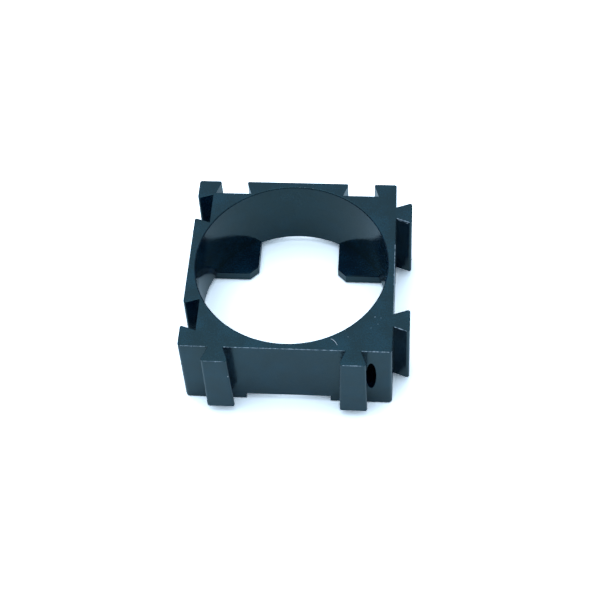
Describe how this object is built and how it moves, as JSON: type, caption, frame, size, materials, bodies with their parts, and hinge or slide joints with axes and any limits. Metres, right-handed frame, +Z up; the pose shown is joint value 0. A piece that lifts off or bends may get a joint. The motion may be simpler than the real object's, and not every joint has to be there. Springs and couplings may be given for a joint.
{
  "type": "battery cell holder bracket",
  "caption": "Square moulded plastic holder for one large cylindrical cell, with dovetail tabs on two sides and matching slots on the other two.",
  "frame": {"origin": "on the bore axis at the cell's seat, which is the top of the four corner lips, 2.1 mm above the feet", "axes": "+Z up along the bore axis, the way the cell lifts out; tabs on the -Y and +X walls, slots on the +Y and -X walls"},
  "size_m": [0.0381, 0.0381, 0.0156],
  "materials": {
    "black_plastic": "moulded black ABS, satin"
  },
  "bodies": {
    "root": {"cell_holder": "black_plastic"}
  },
  "joints": []
}
